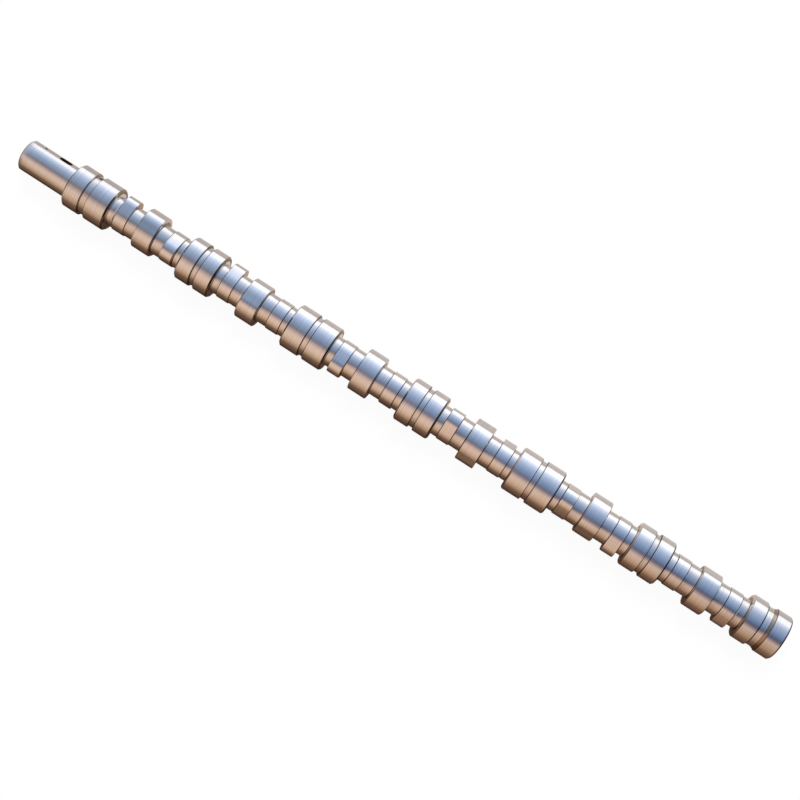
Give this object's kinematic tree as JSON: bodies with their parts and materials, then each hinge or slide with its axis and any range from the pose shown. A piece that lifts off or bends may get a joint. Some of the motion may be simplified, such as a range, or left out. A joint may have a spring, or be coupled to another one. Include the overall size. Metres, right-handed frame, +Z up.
{
  "type": "camshaft",
  "caption": "One-piece engine camshaft with a keyed gear nose, grooved bearing journals, egg-shaped valve lobes and wide injector lobes along a turned steel bar.",
  "frame": {"origin": "on the shaft's axis, in the middle of the front bearing journal", "axes": "+X along the shaft's axis from the gear nose to the rear end, +Z up as the shaft lies, with the keyway 31.3 degrees about +X from +Y"},
  "size_m": [1.193, 0.0636, 0.0634],
  "materials": {
    "ground_steel": "ground, with fine grinding marks round the shaft"
  },
  "bodies": {
    "root": {"camshaft": "ground_steel"}
  },
  "joints": []
}
